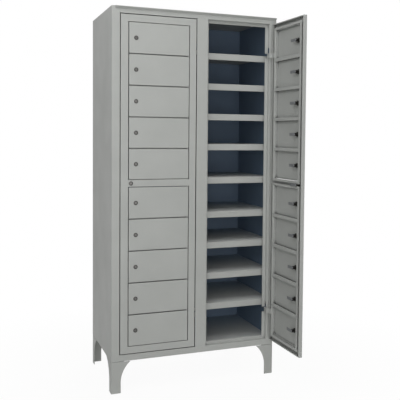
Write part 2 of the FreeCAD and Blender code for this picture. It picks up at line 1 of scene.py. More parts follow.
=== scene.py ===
import math

import bmesh
import bpy
import numpy as np
from mathutils import Matrix, Vector


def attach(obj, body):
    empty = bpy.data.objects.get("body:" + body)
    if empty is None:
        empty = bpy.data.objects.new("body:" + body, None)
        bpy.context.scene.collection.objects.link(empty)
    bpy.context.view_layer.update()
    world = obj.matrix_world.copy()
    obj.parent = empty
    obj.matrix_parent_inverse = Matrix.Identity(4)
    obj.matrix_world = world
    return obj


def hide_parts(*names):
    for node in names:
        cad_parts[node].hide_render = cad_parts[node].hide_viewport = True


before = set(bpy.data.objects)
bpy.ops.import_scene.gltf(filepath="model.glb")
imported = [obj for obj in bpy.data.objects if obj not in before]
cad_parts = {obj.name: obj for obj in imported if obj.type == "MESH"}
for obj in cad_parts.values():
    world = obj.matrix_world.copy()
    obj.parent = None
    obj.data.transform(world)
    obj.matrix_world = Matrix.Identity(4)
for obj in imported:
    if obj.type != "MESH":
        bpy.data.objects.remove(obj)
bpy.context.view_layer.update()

# Pigeonhole mail cabinet of painted sheet steel. Sizes are in millimetres until a mesh is made.
# Cabinet axes: x from the left side, y from the front face to the back, z up from the floor.
# Door axes: origin on the door's hinge pin, x towards the hinge side, y from front to back.


# ---- Camera
# It stands to the left of the cabinet at about two thirds of its height, and looks slightly down.
# The lens is given as the focal length in pixels of a frame 400 pixels wide and high.
FRAME_PIXELS = 400
FOCAL_PIXELS = 670.12
PRINCIPAL_POINT = (233.27, 166.32)
CAMERA_PLACE = (-1.04448, -3.13455, 1.21888)
YAW, PITCH, ROLL = 0.3831, -0.0477, 0.0103

forward = np.array([math.sin(YAW)*math.cos(PITCH), math.cos(YAW)*math.cos(PITCH), math.sin(PITCH)])
level_right = np.array([math.cos(YAW), -math.sin(YAW), 0.0])
level_up = np.cross(level_right, forward)
right = math.cos(ROLL)*level_right + math.sin(ROLL)*level_up
up = math.cos(ROLL)*level_up - math.sin(ROLL)*level_right

lens = bpy.data.cameras.new("camera")
lens.sensor_width = 36
lens.lens = FOCAL_PIXELS*lens.sensor_width/FRAME_PIXELS
lens.shift_x = (FRAME_PIXELS/2 - PRINCIPAL_POINT[0])/FRAME_PIXELS
lens.shift_y = (PRINCIPAL_POINT[1] - FRAME_PIXELS/2)/FRAME_PIXELS
camera = bpy.data.objects.new("camera", lens)
bpy.context.scene.collection.objects.link(camera)
pose = np.eye(4)
pose[:3, :3] = np.column_stack([right, up, -forward])
pose[:3, 3] = CAMERA_PLACE
camera.matrix_world = Matrix(pose.tolist())
bpy.context.scene.camera = camera


# ---- Side panels
# Each side is one sheet of 1.2 mm steel, folded round the front corner into a 38 mm face, the wall
# beside the door and the stop behind it. Powder-coated light grey outside, and slate grey inside as
# painted shade of the deep pigeonholes.
WIDTH, DEPTH = 828.0, 480.0
BASE, TOP = 150.0, 1800.0
OPENING_BOTTOM, OPENING_TOP = 180.0, 1769.0
SIDE_FACE, STOP_FACE, STOP_WIDTH = 38.0, 18.5, 15.0
SHEET, GREY_DEPTH = 1.2, 60.0
CORNER_FOLD, SMALL_FOLD = 3.0, 1.6
HINGE_LEVELS, SLOT_HEIGHT, NOTCH_HEIGHT = (317.5, 1599.5), 52.0, 25.0
AXES = {"case": (0.0, -414.0, -74.677), "left": (0.0, 15.0, -66.677), "right": (91.5, 394.0, -66.677)}


def own_axes(axes):
    """The turn about z of the cabinet's or a door's own axes, and where they stand in the row frame."""
    angle, x, y = AXES[axes]
    c, s = math.cos(math.radians(angle)), math.sin(math.radians(angle))
    return np.array([[c, s, 0], [-s, c, 0], [0, 0, 1]]), np.array([x, y, 0])


def in_row(points, axes):
    """Millimetres in a body's own axes as metres in the row frame: turn about z, then shift."""
    turn, place = own_axes(axes)
    return (points @ turn + place)/1000


def bent_line(corners, folds, thickness=SHEET, steps=5):
    """A path of straight runs with each corner rounded by an arc, and the left normal at each point.

    An arc starts and ends at radius times the tangent of half the turn from its corner. The fold's
    radius is that of the sheet's outer skin, so a path on the inner skin takes it less the thickness.
    """
    corners = np.array(corners, float)
    runs = np.diff(corners, axis=0)
    runs /= np.linalg.norm(runs, axis=1)[:, None]
    left = np.stack([-runs[:, 1], runs[:, 0]], axis=1)
    line, normals = [corners[:1]], [left[:1]]
    for corner, before, after, normal, fold in zip(corners[1:-1], runs, runs[1:], left, folds):
        turn = math.atan2(before[0]*after[1] - before[1]*after[0], before @ after)
        radius = fold if turn > 0 else fold - thickness
        if abs(turn) < 1e-6 or fold == 0:
            line.append(corner[None])
            normals.append(normal[None])
            continue
        start = corner - before*radius*math.tan(abs(turn)/2)
        centre = start + normal*radius*math.copysign(1, turn)
        angles = np.linspace(0, turn, steps + 1)
        spin = np.array([[np.cos(angles), np.sin(angles)], [-np.sin(angles), np.cos(angles)]])
        line.append(centre + np.einsum("i,ijk->kj", start - centre, spin))
        normals.append(np.einsum("i,ijk->kj", normal, spin))
    line.append(corners[-1:])
    normals.append(left[-1:])
    return np.concatenate(line), np.concatenate(normals)


def run_of(line, normals, levels, section, run, thickness=SHEET):
    """Both skins of a sheet: point (i, j) is point i of the section's line, carried to level j along the run.

    section holds the two directions that the line's coordinates stand for, and run the third.
    The second skin stands off the first by the thickness, along the left normal.
    """
    section, run = np.array(section, float), np.array(run, float)
    skin = (line @ section)[:, None] + np.array(levels)[None, :, None]*run
    return skin, skin + thickness*(normals @ section)[:, None]


# a section drawn in plan and run upwards
PLAN = ([[1, 0, 0], [0, 1, 0]], [0, 0, 1])


def between(values, low, high):
    """True for each gap between neighbours whose middle lies between low and high."""
    middle = (np.array(values)[1:] + np.array(values)[:-1])/2
    return (middle > low) & (middle < high)


def shell(skins, keep=None):
    """A closed sheet from two skins on one grid of points, with the cells that keep leaves out open.

    Each kept cell has a face on both skins, and a narrow edge face wherever its neighbour is left out.
    """
    first, second = skins
    across, along = first.shape[:2]
    keep = np.ones((across - 1, along - 1), bool) if keep is None else keep
    number = np.arange(across*along).reshape(across, along)
    a, b, c, d = number[:-1, :-1], number[1:, :-1], number[1:, 1:], number[:-1, 1:]
    far = across*along
    padded = np.pad(keep, 1)
    open_sides = [(~padded[:-2, 1:-1], a, d), (~padded[2:, 1:-1], c, b),
                  (~padded[1:-1, :-2], b, a), (~padded[1:-1, 2:], d, c)]
    faces = [np.stack([a, b, c, d], -1)[keep], np.stack([d, c, b, a], -1)[keep] + far]
    for is_open, start, end in open_sides:
        side = keep & is_open
        faces.append(np.stack([end, start, start + far, end + far], -1)[side])
    return np.concatenate([first.reshape(-1, 3), second.reshape(-1, 3)]), np.concatenate(faces)


def make_piece(name, parts, axes, body, material):
    """One object from closed parts, each a pair of points and four-cornered faces, in the row frame.

    The arcs of its folds are shaded smooth, and edges that turn by more than 40 degrees stay sharp.
    """
    points, faces, start = [], [], 0
    for part_points, part_faces in parts:
        points.append(part_points)
        faces.append(part_faces + start)
        start += len(part_points)
    points, faces = np.concatenate(points), np.concatenate(faces)
    used, numbers = np.unique(faces, return_inverse=True)
    points, faces = in_row(points[used], axes), numbers.reshape(-1, 4)
    mesh = bpy.data.meshes.new(name)
    mesh.vertices.add(len(points))
    mesh.vertices.foreach_set("co", points.ravel())
    mesh.loops.add(faces.size)
    mesh.loops.foreach_set("vertex_index", faces.ravel().astype(np.int32))
    mesh.polygons.add(len(faces))
    mesh.polygons.foreach_set("loop_start", np.arange(0, faces.size, 4, dtype=np.int32))
    mesh.update(calc_edges=True)
    work = bmesh.new()
    work.from_mesh(mesh)
    bmesh.ops.recalc_face_normals(work, faces=work.faces)
    work.to_mesh(mesh)
    work.free()
    mesh.shade_smooth()
    mesh.set_sharp_from_angle(angle=math.radians(40))
    mesh.materials.append(material)
    item = bpy.data.objects.new(name, mesh)
    bpy.context.scene.collection.objects.link(item)
    flatten = item.modifiers.new("flat_faces_stay_flat", "WEIGHTED_NORMAL")
    flatten.keep_sharp = True
    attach(item, body)
    return item


def linear(colour):
    """An sRGB hex colour as linear red, green, blue and alpha."""
    parts = np.array([int(colour[i:i + 2], 16)/255 for i in (1, 3, 5)])
    light = np.where(parts <= 0.04045, parts/12.92, ((parts + 0.055)/1.055)**2.4)
    return (*light.tolist(), 1.0)


def add_node(tree, kind, sockets, **settings):
    """Adds one node; a socket takes a value, or a link where it is given another node's output."""
    new = tree.nodes.new(kind)
    for name, setting in settings.items():
        setattr(new, name, setting)
    for name, source in sockets.items():
        if isinstance(source, bpy.types.NodeSocket):
            tree.links.new(source, new.inputs[name])
        else:
            new.inputs[name].default_value = source
    return new


def bare_material(name):
    """A material without nodes but its object coordinates, which its patterns read."""
    material = bpy.data.materials.new(name)
    material.use_nodes = True
    material.node_tree.nodes.clear()
    place = add_node(material.node_tree, "ShaderNodeTexCoord", {}).outputs["Object"]
    return material, material.node_tree, place


def powder_coat(name, tone, cloud, worn, roughness, painted_front_light=None, shade_openness=(0.05, 0.45)):
    """Baked powder paint on steel: an even colour that clouds slightly, a fine orange peel, worn folds and
    painted shade in narrow gaps.

    The optional painted front light is a lighter colour with the distances in metres where it starts to
    thin and where it is gone: light falling in over the front, painted on. The pair for the painted shade
    in gaps holds how open a place is where it is darkest, and where it keeps the paint's colour.
    """
    material, tree, place = bare_material(name)
    # patches of about 160 mm, where the spray lies thicker
    patches = add_node(tree, "ShaderNodeTexNoise", {"Vector": place, "Scale": 1/0.16, "Detail": 3.0})
    spread = add_node(tree, "ShaderNodeMapRange", {
        "Value": patches.outputs["Fac"], "From Min": 0.3, "From Max": 0.7})
    colour = add_node(tree, "ShaderNodeMix", {
        0: spread.outputs["Result"], 6: linear(tone), 7: linear(cloud)}, data_type="RGBA")
    if painted_front_light:
        # painted light: a lighter grey over the front, where light falls in, which thins out towards the back
        lit_tone, lit_start, lit_end = painted_front_light
        depth = add_node(tree, "ShaderNodeSeparateXYZ", {0: place})
        lit_share = add_node(tree, "ShaderNodeMapRange", {
            "Value": depth.outputs["Y"], "From Min": lit_start, "From Max": lit_end, "To Min": 1.0,
            "To Max": 0.0}, interpolation_type="SMOOTHSTEP")
        colour = add_node(tree, "ShaderNodeMix", {
            0: lit_share.outputs["Result"], 6: colour.outputs[2], 7: linear(lit_tone)}, data_type="RGBA")
    # chips and rubs of about 5 mm on the folds, where hands and keys touch
    rounded = add_node(tree, "ShaderNodeBevel", {"Radius": 0.0007}, samples=4)
    facing = add_node(tree, "ShaderNodeNewGeometry", {})
    agree = add_node(tree, "ShaderNodeVectorMath", {
        0: rounded.outputs["Normal"], 1: facing.outputs["Normal"]}, operation="DOT_PRODUCT")
    edge = add_node(tree, "ShaderNodeMapRange", {
        "Value": agree.outputs["Value"], "From Min": 0.98, "From Max": 0.85})
    chips = add_node(tree, "ShaderNodeTexNoise", {"Vector": place, "Scale": 1/0.005, "Detail": 4.0})
    chipped = add_node(tree, "ShaderNodeMapRange", {
        "Value": chips.outputs["Fac"], "From Min": 0.56, "From Max": 0.62})
    rubbed = add_node(tree, "ShaderNodeMath", {
        0: edge.outputs["Result"], 1: chipped.outputs["Result"]}, operation="MULTIPLY")
    coat = add_node(tree, "ShaderNodeMix", {
        0: rubbed.outputs["Value"], 6: colour.outputs[2], 7: linear(worn)}, data_type="RGBA")
    # painted shade in gaps and channels that are narrower than about 10 mm, darker the less open they are
    openness = add_node(tree, "ShaderNodeAmbientOcclusion", {"Distance": 0.02}, samples=8)
    gap_shade = add_node(tree, "ShaderNodeMapRange", {
        "Value": openness.outputs["AO"], "From Min": shade_openness[0], "From Max": shade_openness[1]})
    coat = add_node(tree, "ShaderNodeMix", {
        0: gap_shade.outputs["Result"], 6: linear("#1b1d1f"), 7: coat.outputs[2]}, data_type="RGBA")
    # orange peel, drawn at 2.5 mm
    peel = add_node(tree, "ShaderNodeTexNoise", {"Vector": place, "Scale": 1/0.0025, "Detail": 2.0})
    grain = add_node(tree, "ShaderNodeBump", {
        "Height": peel.outputs["Fac"], "Strength": 0.25, "Distance": 0.00012,
        "Normal": rounded.outputs["Normal"]})
    sheen = add_node(tree, "ShaderNodeMapRange", {
        "Value": patches.outputs["Fac"], "To Min": roughness - 0.06, "To Max": roughness + 0.06})
    shader = add_node(tree, "ShaderNodeBsdfPrincipled", {
        "Base Color": coat.outputs[2], "Roughness": sheen.outputs["Result"],
        "Normal": grain.outputs["Normal"], "IOR": 1.5})
    add_node(tree, "ShaderNodeOutputMaterial", {"Surface": shader.outputs["BSDF"]})
    return material


# semi-matt light grey: soft wide highlights with no mirror image
grey_coat = powder_coat("grey_powder_coat", "#a9aba8", "#a4a6a3", "#8b8d8b", 0.5)
# matt slate grey inside, painted shade that keeps the pigeonholes dark
painted_shade_slate = powder_coat("slate_painted_shade_coat", "#66788d", "#607185", "#666f78", 0.6)


def second_coat(item, picks, coat, axes="case"):
    """Gives a second material to some faces.

    picks tells which, from their centres and normals in millimetres in a body's own axes.
    """
    item.data.materials.append(coat)
    centres, facing = np.empty((2, len(item.data.polygons), 3))
    item.data.polygons.foreach_get("center", centres.ravel())
    item.data.polygons.foreach_get("normal", facing.ravel())
    turn, place = own_axes(axes)
    picked = picks((centres*1000 - place) @ turn.T, facing @ turn.T)
    item.data.polygons.foreach_set("material_index", picked.astype(np.int32))


hinge_levels = [level + rise for level in HINGE_LEVELS for rise in (0, NOTCH_HEIGHT, SLOT_HEIGHT)]
side_levels = [BASE, OPENING_BOTTOM, OPENING_BOTTOM + STOP_WIDTH, *hinge_levels, OPENING_TOP - STOP_WIDTH,
               OPENING_TOP, TOP]
beside_opening = between(side_levels, OPENING_BOTTOM, OPENING_TOP)
beside_stop = between(side_levels, OPENING_BOTTOM + STOP_WIDTH, OPENING_TOP - STOP_WIDTH)


def at_hinges(values, height):
    """True for each gap that lies in the given height above the underside of a hinge slot."""
    return np.any([between(values, level, level + height) for level in HINGE_LEVELS], axis=0)


for side, corner, far in (("left", 0.0, 1), ("right", WIDTH, -1)):
    wall = corner + far*SIDE_FACE
    path = [(wall + far*STOP_WIDTH, STOP_FACE), (wall, STOP_FACE), (wall, 0), (corner, 0),
            (corner, GREY_DEPTH), (corner, DEPTH)]
    folds = [SMALL_FOLD, SMALL_FOLD, CORNER_FOLD, 0]
    if side == "left":
        path, folds = path[::-1], folds[::-1]
    line, normals = bent_line(path, folds)
    middle = (line[1:] + line[:-1])/2
    past_face = (middle[:, 0] - wall)*far > -SMALL_FOLD
    in_stop = (middle[:, 0] - wall)*far > 0.01
    in_stop |= past_face & (middle[:, 1] > STOP_FACE - SMALL_FOLD)
    in_wall = past_face & (middle[:, 1] > SMALL_FOLD)
    keep = ~(past_face[:, None] & ~beside_opening) & ~(in_stop[:, None] & ~beside_stop)
    if side == "right":
        keep &= ~(in_wall[:, None] & ~in_stop[:, None] & at_hinges(side_levels, SLOT_HEIGHT))
        keep &= ~(in_stop[:, None] & at_hinges(side_levels, NOTCH_HEIGHT))
    panel = make_piece(f"side_panel_{side}_sheet", [shell(run_of(line, normals, side_levels, *PLAN), keep)],
                       "case", "case", grey_coat)
    # painted shade: the inner skin behind the first 60 mm takes the slate grey
    second_coat(panel, lambda centre, facing: (centre[:, 1] > GREY_DEPTH) & (facing[:, 0]*far > 0.5),
                painted_shade_slate)
    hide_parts(f"side_panel_{side}")


# ---- Centre post
# A hat section of the same sheet between the two openings. Its stops carry the doors' edges, and
# two slots in its left wall let the left door's hinge straps through.
POST, RIGHT_STOP = (411.0, 466.0), 9.0

post_levels = [OPENING_BOTTOM - SMALL_FOLD, *side_levels[1:-1], OPENING_TOP + SMALL_FOLD]
post_path = [(POST[0] - STOP_WIDTH, STOP_FACE), (POST[0], STOP_FACE), (POST[0], 0), (POST[1], 0),
             (POST[1], STOP_FACE), (POST[1] + RIGHT_STOP, STOP_FACE)]
line, normals = bent_line(post_path, [SMALL_FOLD]*4)
middle = (line[1:] + line[:-1])/2
off_face = middle[:, 1] > 0
in_stop = middle[:, 1] > STOP_FACE - SMALL_FOLD
on_left = middle[:, 0] < POST[0] + SMALL_FOLD
post_opening = between(post_levels, OPENING_BOTTOM, OPENING_TOP)
post_stop = between(post_levels, OPENING_BOTTOM + STOP_WIDTH, OPENING_TOP - STOP_WIDTH)
keep = ~(off_face[:, None] & ~post_opening) & ~(in_stop[:, None] & ~post_stop)
in_wall = on_left & ~in_stop & (middle[:, 1] > SMALL_FOLD)
keep &= ~(in_wall[:, None] & at_hinges(post_levels, SLOT_HEIGHT))
keep &= ~((on_left & in_stop)[:, None] & at_hinges(post_levels, NOTCH_HEIGHT))
post = make_piece("centre_post_sheet", [shell(run_of(line, normals, post_levels, *PLAN), keep)],
                  "case", "case", grey_coat)
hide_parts("centre_post")


# ---- Head and sill
# Folded rails above and below the doors. Each has a stop behind the doors, and the sill turns back
# under the case, where the legs are bolted. They are welded flush to the side faces and the post.
SILL_RETURN = 30.0
# a section drawn from the side and run across the cabinet
SIDE_VIEW = ([[0, 1, 0], [0, 0, 1]], [1, 0, 0])

rail_runs = [SIDE_FACE - SMALL_FOLD, SIDE_FACE, *POST, WIDTH - SIDE_FACE, WIDTH - SIDE_FACE + SMALL_FOLD]
at_post = between(rail_runs, *POST)
at_ends = ~between(rail_runs, SIDE_FACE, WIDTH - SIDE_FACE)
head_path = [(0, TOP - SHEET), (0, OPENING_TOP), (STOP_FACE, OPENING_TOP),
             (STOP_FACE, OPENING_TOP - STOP_WIDTH)]
sill_path = [(STOP_FACE, OPENING_BOTTOM + STOP_WIDTH), (STOP_FACE, OPENING_BOTTOM), (0, OPENING_BOTTOM),
             (0, BASE), (SILL_RETURN, BASE)]
rails = []
for path, folds, edge in ((head_path, [SMALL_FOLD]*2, OPENING_TOP),
                          (sill_path, [SMALL_FOLD, SMALL_FOLD, CORNER_FOLD], OPENING_BOTTOM)):
    line, normals = bent_line(path, folds)
    middle = (line[1:] + line[:-1])/2
    past_face = (middle[:, 1] - edge)*(1 if edge == OPENING_TOP else -1) < SMALL_FOLD
    keep = ~(past_face[:, None] & (at_post | at_ends))
    rails.append(shell(run_of(line, normals, rail_runs, *SIDE_VIEW), keep))
front_rails = make_piece("head_and_sill_sheets", rails, "case", "case", grey_coat)
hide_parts("front_rails")


# ---- Top panel
# The top sheet runs past the front face in a nose, which is folded back under itself to the head.
# It lies between the side panels, welded along its edges.
NOSE_REACH, NOSE_HEIGHT, NOSE_ENDS, NOSE_FOLD = 12.0, 12.0, (17.0, WIDTH - 2.0), 1.8

line, normals = bent_line([(DEPTH - SHEET, TOP), (SHEET, TOP), (0, TOP), (-NOSE_REACH, TOP),
                           (-0.3, TOP - NOSE_HEIGHT + 0.3)], [0, 0, NOSE_FOLD])
middle = (line[1:] + line[:-1])/2
top_runs = [SHEET, NOSE_ENDS[0], SIDE_FACE, WIDTH - SIDE_FACE, NOSE_ENDS[1], WIDTH - SHEET]
in_front = middle[:, 0] < 0
behind_face = (middle[:, 0] > 0) & (middle[:, 0] < SHEET)
keep = ~(in_front[:, None] & ~between(top_runs, *NOSE_ENDS))
keep &= ~(behind_face[:, None] & ~between(top_runs, SIDE_FACE, WIDTH - SIDE_FACE))
top = make_piece("top_sheet", [shell(run_of(line, normals, top_runs, *SIDE_VIEW), keep)],
                 "case", "case", grey_coat)
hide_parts("top_panel")


# ---- Shelves
# Nine shelves in each column. One sheet is folded down at the front into a lip 31 mm high, with a
# short return under it. The lip is light grey as the case, and the deck has painted light at the front
# and painted shade towards the back.
# Each stands behind a joint of the small doors, spread a little from the middle one.
SHELF_FRONT, SHELF_LIP, SHELF_RETURN = 42.0, 31.0, 54.0
SHELF_RISE, SHELF_SPREAD = 19.5, 0.014
MIDDLE_LEVEL = 986.0
SEPARATORS = [367.1, 517.7, 668.3, 818.9, MIDDLE_LEVEL, 1148.5, 1294.5, 1440.5, 1586.5]
SHELF_TOPS = [level + SHELF_RISE + SHELF_SPREAD*(level - MIDDLE_LEVEL) for level in SEPARATORS]
PARTITION = 438.5
SHELF_SPANS = {"left": (SHEET, PARTITION - SHEET/2), "right": (PARTITION + SHEET/2, WIDTH - SHEET)}

# blue grey on the decks as painted shade, under lighter grey painted over the front as light that
# falls in and thins out towards the back
deck_painted_shade = powder_coat("deck_coat_painted_shade", "#93a3b0", "#8d9ca9", "#8b8d8b", 0.55,
                          painted_front_light=("#c2c4c2", 0.06, 0.42))

line, normals = bent_line([(DEPTH - SHEET, 0), (SHELF_FRONT, 0), (SHELF_FRONT, -SHELF_LIP),
                           (SHELF_RETURN, -SHELF_LIP)], [SMALL_FOLD, SMALL_FOLD])
for side, span in SHELF_SPANS.items():
    skins = run_of(line, normals, span, *SIDE_VIEW)
    sheets = [shell([skin + np.array([0, 0, level]) for skin in skins]) for level in SHELF_TOPS]
    shelves = make_piece(f"shelf_sheets_{side}", sheets, "case", "case", grey_coat)
    second_coat(shelves, lambda centre, facing: (centre[:, 1] > SHELF_FRONT + SMALL_FOLD)
                & (facing[:, 2] > 0.5), deck_painted_shade)
    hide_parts(f"shelves_{side}")


# ---- Legs
# Pressed angle sections of 2 mm steel. Each of the two plates is straight at the foot and then
# sweeps out in an arc to the case, and a seat plate across the top takes the bolt.
LEG_FOOT, LEG_STRAIGHT, LEG_SHEET, LEG_SEAT = 45.0, 50.0, 2.0, 60.0
LEG_TOPS = {"front": 93.0, "side": 120.0}
LEG_CORNERS = [(0.0, 0.0, 1, 1), (WIDTH, 0.0, -1, 1), (0.0, DEPTH, 1, -1), (WIDTH, DEPTH, -1, -1)]


def leg_width(height, top_width):
    """Foot width up to the straight part, then radius less the root of radius squared less rise squared."""
    rise, spread = BASE - LEG_STRAIGHT, top_width - LEG_FOOT
    radius = (rise**2 + spread**2)/(2*spread)
    above = np.clip(height - LEG_STRAIGHT, 0, None)
    return LEG_FOOT + radius - np.sqrt(radius**2 - above**2)


heights = np.concatenate([[0.0], np.linspace(LEG_STRAIGHT, BASE - SHEET, 15)])
line, normals = bent_line([(0, LEG_FOOT), (0, 0), (LEG_FOOT, 0)], [CORNER_FOLD], LEG_SHEET)
skins = run_of(line, normals, heights, *PLAN, LEG_SHEET)
for skin in skins:
    skin[0, :, 1] = leg_width(heights, LEG_TOPS["side"])
    skin[-1, :, 0] = leg_width(heights, LEG_TOPS["front"])
seat_grid = np.stack(np.meshgrid([LEG_SHEET, LEG_SEAT], [LEG_SHEET, LEG_SEAT], indexing="ij"), -1)
seat_top = np.concatenate([seat_grid, np.full((2, 2, 1), BASE)], -1)
seat = (seat_top, seat_top - np.array([0, 0, LEG_SHEET]))
plates = []
for x, y, across, along in LEG_CORNERS:
    flip = np.array([across, along, 1])
    for pair in (skins, seat):
        plates.append(shell([skin*flip + np.array([x, y, 0]) for skin in pair]))
legs = make_piece("pressed_legs", plates, "case", "case", grey_coat)
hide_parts("legs")


# ---- Master door frames
# One frame of folded sheet for each column: an outer edge folded back and lipped, and a window for
# each field of five small doors. Channel crossbars at the back stiffen it behind the small doors.
DOOR_WIDTHS = {"left": 365.5, "right": 316.5}
DOOR_BOTTOM, DOOR_TOP = 183.5, 1765.5
FRAME_FREE, FRAME_HINGE, FRAME_RAIL = 36.0, 33.0, 33.0
FIELDS = ((216.5, 969.5), (1002.5, 1732.5))
DOOR_DEPTH, DOOR_FRONT, HINGE_EDGE = 18.0, -8.0, -22.0
LIP, EDGE_LIP, LOCK_LIP = 11.0, 5.0, 18.0
DOOR_FOLD = 1.6
BAR_FRONT, BAR_HALF = 3.51, 8.0
PIN_X, PIN_Y, PIN_RADIUS, PIN_REACH = -62.0, -4.0, 2.0, 7.0
LUG_HALF, LUG_SHEET = 6.0, 1.2
MASTER_INSET, MASTER_LOCK_LENGTH = 49.0, 21.5


def rim(rectangle, sections, front, thickness, capped=False):
    """A folded section carried round a rectangle with mitred corners.

    sections holds the left, right, bottom and top paths of (inset from the edge, depth), all of as
    many points. Corner x is the edge plus or less the inset at its side, and z likewise. A capped rim
    has a flat face across the end of its path, and an open one closes round its own section.
    """
    outlines = []
    for path, folds in sections:
        line, normals = bent_line(path, folds, thickness)
        outlines.append(np.concatenate([line, (line + thickness*normals)[::-1]]))
    depth = outlines[0][:, 1] + front
    inward = (1, -1, 1, -1)
    x0, x1, z0, z1 = (edge + way*outline[:, 0] for edge, way, outline in zip(rectangle, inward, outlines))
    corners = [(x0, z0), (x1, z0), (x1, z1), (x0, z1)]
    points = np.stack([np.stack([x, depth, z], -1) for x, z in corners], 1)
    count = len(depth)
    number = np.arange(count*4).reshape(count, 4)
    after, beside = np.roll(number, -1, 0), np.roll(number, -1, 1)
    faces = np.stack([number, after, np.roll(after, -1, 1), beside], -1)
    if capped:
        end = count//2 - 1
        faces = np.concatenate([np.delete(faces, end, 0).reshape(-1, 4), number[[end]],
                                number[[end + 1], ::-1]])
    return points.reshape(-1, 3), faces.reshape(-1, 4)


def turned(profile, centre, steps):
    """A closed profile of (radius, distance along y) turned about an axis that runs from front to back.

    A point is radius times the cosine and sine of its angle from the centre, and its distance behind.
    A radius is a number or one for each step round, so a section can be a hexagon as well as a circle.
    """
    angles = np.arange(steps)*2*np.pi/steps
    radii = np.stack([np.broadcast_to(radius, steps) for radius, _ in profile])
    depth = np.array([along for _, along in profile], float)[:, None] + np.zeros(steps)
    points = np.stack([radii*np.cos(angles), depth, radii*np.sin(angles)], -1) + np.array(centre)
    number = np.arange(len(profile)*steps).reshape(len(profile), steps)
    after = np.roll(number, -1, 0)
    faces = np.stack([number, after, np.roll(after, -1, 1), np.roll(number, -1, 1)], -1)
    return points.reshape(-1, 3), faces.reshape(-1, 4)


def plate(low, high):
    """A flat plate between two corners, as two skins that stand apart along z."""
    x, y = np.meshgrid([low[0], high[0]], [low[1], high[1]], indexing="ij")
    return shell([np.stack([x, y, np.full_like(x, level)], -1) for level in (low[2], high[2])])


def upright_pin(low, high):
    """A hinge pin along z: rings of the radius less a chamfer at the ends, and strips across each end."""
    x, y, radius, chamfer, steps = PIN_X, PIN_Y, PIN_RADIUS, 0.4, 24
    angles = np.arange(steps)*2*np.pi/steps
    rings = [(radius - chamfer, low), (radius, low + chamfer), (radius, high - chamfer),
             (radius - chamfer, high)]
    points = np.stack([np.stack([x + r*np.cos(angles), y + r*np.sin(angles), np.full(steps, z)], -1)
                       for r, z in rings])
    number = np.arange(len(rings)*steps).reshape(len(rings), steps)
    beside = np.roll(number, -1, 1)
    faces = [np.stack([number[:-1], number[1:], beside[1:], beside[:-1]], -1).reshape(-1, 4)]
    for ring in number[[0, -1]]:
        near, far = ring[:steps//2], ring[::-1][:steps//2]
        faces.append(np.stack([near[:-1], near[1:], far[1:], far[:-1]], -1))
    return points.reshape(-1, 3), np.concatenate(faces)


BEZEL_RADIUS, BEZEL_HEIGHT, LOCK_RADIUS, LOCK_BORE = 10.0, 2.5, 8.0, 5.58
NUT_CORNER, NUT_HEIGHT = 12.0, 4.0


def lock_case(centre, length, panel):
    """The fixed half of a cam lock: a domed bezel on a threaded barrel, and a hexagonal nut.

    The nut lies behind the panel. Its radius is the apothem over the cosine of the angle from the
    middle of the nearest flat.
    """
    bezel = [(LOCK_BORE, -1.9), (LOCK_BORE + 0.5, -BEZEL_HEIGHT), (8.4, -BEZEL_HEIGHT), (9.3, -2.1),
             (BEZEL_RADIUS, -1.2), (BEZEL_RADIUS, 0), (LOCK_RADIUS, 0), (LOCK_RADIUS, length - 0.5),
             (LOCK_RADIUS - 0.5, length), (LOCK_BORE, length)]
    steps = 36
    angles = np.arange(steps)*2*np.pi/steps
    apothem = NUT_CORNER*math.cos(math.pi/6)
    hexagon = apothem/np.cos((angles + math.pi/6) % (math.pi/3) - math.pi/6)
    nut = [(LOCK_RADIUS, panel), (hexagon, panel), (hexagon, panel + NUT_HEIGHT - 0.8),
           (np.minimum(hexagon, 10.8), panel + NUT_HEIGHT), (LOCK_RADIUS, panel + NUT_HEIGHT)]
    return [turned(bezel, centre, 40), turned(nut, centre, steps)]


def frame_sections(front_widths, lips, outer):
    """The four paths of a rim.

    The outer rim runs from its lip round the edge to the face, and a window's the other way.
    """
    if outer:
        paths = [[(lip, DOOR_DEPTH), (0, DOOR_DEPTH), (0, 0), (width, 0)]
                 for width, lip in zip(front_widths, lips)]
    else:
        paths = [[(0, 0), (width, 0), (width, DOOR_DEPTH), (width - lip, DOOR_DEPTH)]
                 for width, lip in zip(front_widths, lips)]
    return [(path, [DOOR_FOLD, DOOR_FOLD]) for path in paths]


def plated_metal(name, dull, bright, metallic, low, high):
    """A thin plate on die-cast zinc or steel: a soft grey metal with the fine rub marks of keys.

    Its colour runs from dull to bright and its roughness from low to high, both with the marks.
    """
    material, tree, place = bare_material(name)
    # marks of about 1.5 mm
    rubs = add_node(tree, "ShaderNodeTexNoise", {"Vector": place, "Scale": 1/0.0015, "Detail": 4.0})
    tarnish = add_node(tree, "ShaderNodeMix", {
        0: rubs.outputs["Fac"], 6: linear(dull), 7: linear(bright)}, data_type="RGBA")
    gloss = add_node(tree, "ShaderNodeMapRange", {
        "Value": rubs.outputs["Fac"], "To Min": low, "To Max": high})
    shader = add_node(tree, "ShaderNodeBsdfPrincipled", {
        "Base Color": tarnish.outputs[2], "Metallic": metallic, "Roughness": gloss.outputs["Result"]})
    add_node(tree, "ShaderNodeOutputMaterial", {"Surface": shader.outputs["BSDF"]})
    return material


# the bezels are painted dark, a painted reflection of dark surroundings, so each lock draws as a dark ring on
# its door
dark_reflection_nickel = plated_metal("nickel_plate_dark_reflection", "#3e3d3c", "#504f4d", 1.0, 0.28, 0.42)

